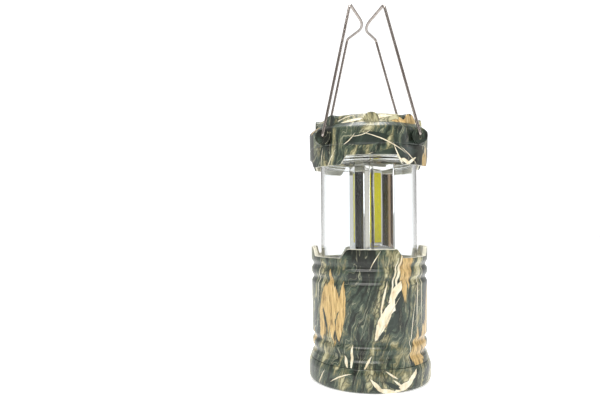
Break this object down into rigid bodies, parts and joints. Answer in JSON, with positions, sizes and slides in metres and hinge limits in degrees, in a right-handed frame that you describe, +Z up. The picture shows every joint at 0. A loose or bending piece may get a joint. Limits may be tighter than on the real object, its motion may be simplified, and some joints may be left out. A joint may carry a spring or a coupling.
{
  "type": "camping lantern",
  "caption": "Pop-up lantern: round battery housing, a head that pulls up on a clear tube to bare a mirrored light column, and folding wire handles.",
  "frame": {"origin": "middle of the underside of the base cap", "axes": "+Z up along the lantern's axis, -Y towards the front tab, X across the two handle pivots"},
  "size_m": [0.0882, 0.0882, 0.2601],
  "materials": {
    "camo_plastic": "satin ABS with a dipped woodland print",
    "ivory_plastic": "plain moulded ABS",
    "gasket_rubber": "matt",
    "clear_plastic": "clear polystyrene moulding, gloss",
    "mirror_plating": "ABS with a vacuum-deposited aluminium film, mirror bright",
    "bright_wire": "nickel plated steel wire",
    "contact_brass": "stamped strip",
    "nickel_plate": "nickel plated spring steel",
    "wire_insulation": "PVC insulation",
    "zinc_screw": "zinc plated",
    "cell_jacket": null,
    "board_white": "white solder mask on an aluminium board",
    "phosphor_yellow": "phosphor-filled silicone"
  },
  "bodies": {
    "cap": {"base_cap": "camo_plastic", "cap_gasket": "gasket_rubber"},
    "housing": {"body_shell": "camo_plastic", "guide_ring": "ivory_plastic", "battery_tray": "ivory_plastic", "tray_screws": "zinc_screw", "battery_1": "cell_jacket", "battery_2": "cell_jacket", "battery_3": "cell_jacket", "battery_spring_1": "nickel_plate", "battery_spring_2": "nickel_plate", "battery_spring_3": "nickel_plate", "terminal_plate_negative": "nickel_plate", "terminal_plate_positive": "nickel_plate", "bridge_plate_right": "nickel_plate", "bridge_plate_left": "nickel_plate", "contact_rail_positive": "contact_brass", "contact_rail_negative": "contact_brass"},
    "head": {"clear_tube": "clear_plastic", "tube_stop_ring": "ivory_plastic", "contact_carrier": "ivory_plastic", "leaf_contact_positive": "contact_brass", "leaf_contact_negative": "contact_brass", "reflector_column": "mirror_plating", "cob_board_1": "board_white", "cob_board_2": "board_white", "cob_board_3": "board_white", "cob_strip_1": "phosphor_yellow", "cob_strip_2": "phosphor_yellow", "cob_strip_3": "phosphor_yellow", "lead_wires": "wire_insulation", "carrier_screws": "zinc_screw", "column_screws": "zinc_screw", "head_shell": "camo_plastic", "top_cover": "camo_plastic", "cover_screws": "zinc_screw"},
    "left_handle": {"handle_left": "bright_wire"},
    "right_handle": {"handle_right": "bright_wire"}
  },
  "joints": [
    {"name": "head_slide", "type": "slide", "parent": "housing", "child": "head", "axis": [0, 0, 1], "range_m": [-0.0624, 0]},
    {"name": "left_handle_hinge", "type": "hinge", "parent": "head", "child": "left_handle", "pos_m": [-0.0325, 0, 0.1715], "axis": [0, -1, 0], "range_deg": [0, 190.8]},
    {"name": "right_handle_hinge", "type": "hinge", "parent": "head", "child": "right_handle", "pos_m": [0.0325, 0, 0.1715], "axis": [0, 1, 0], "range_deg": [0, 193.8]},
    {"name": "cap_twist", "type": "hinge", "parent": "housing", "child": "cap", "pos_m": [0, 0, 0.008], "axis": [0, 0, -1], "range_deg": [0, 20]}
  ]
}
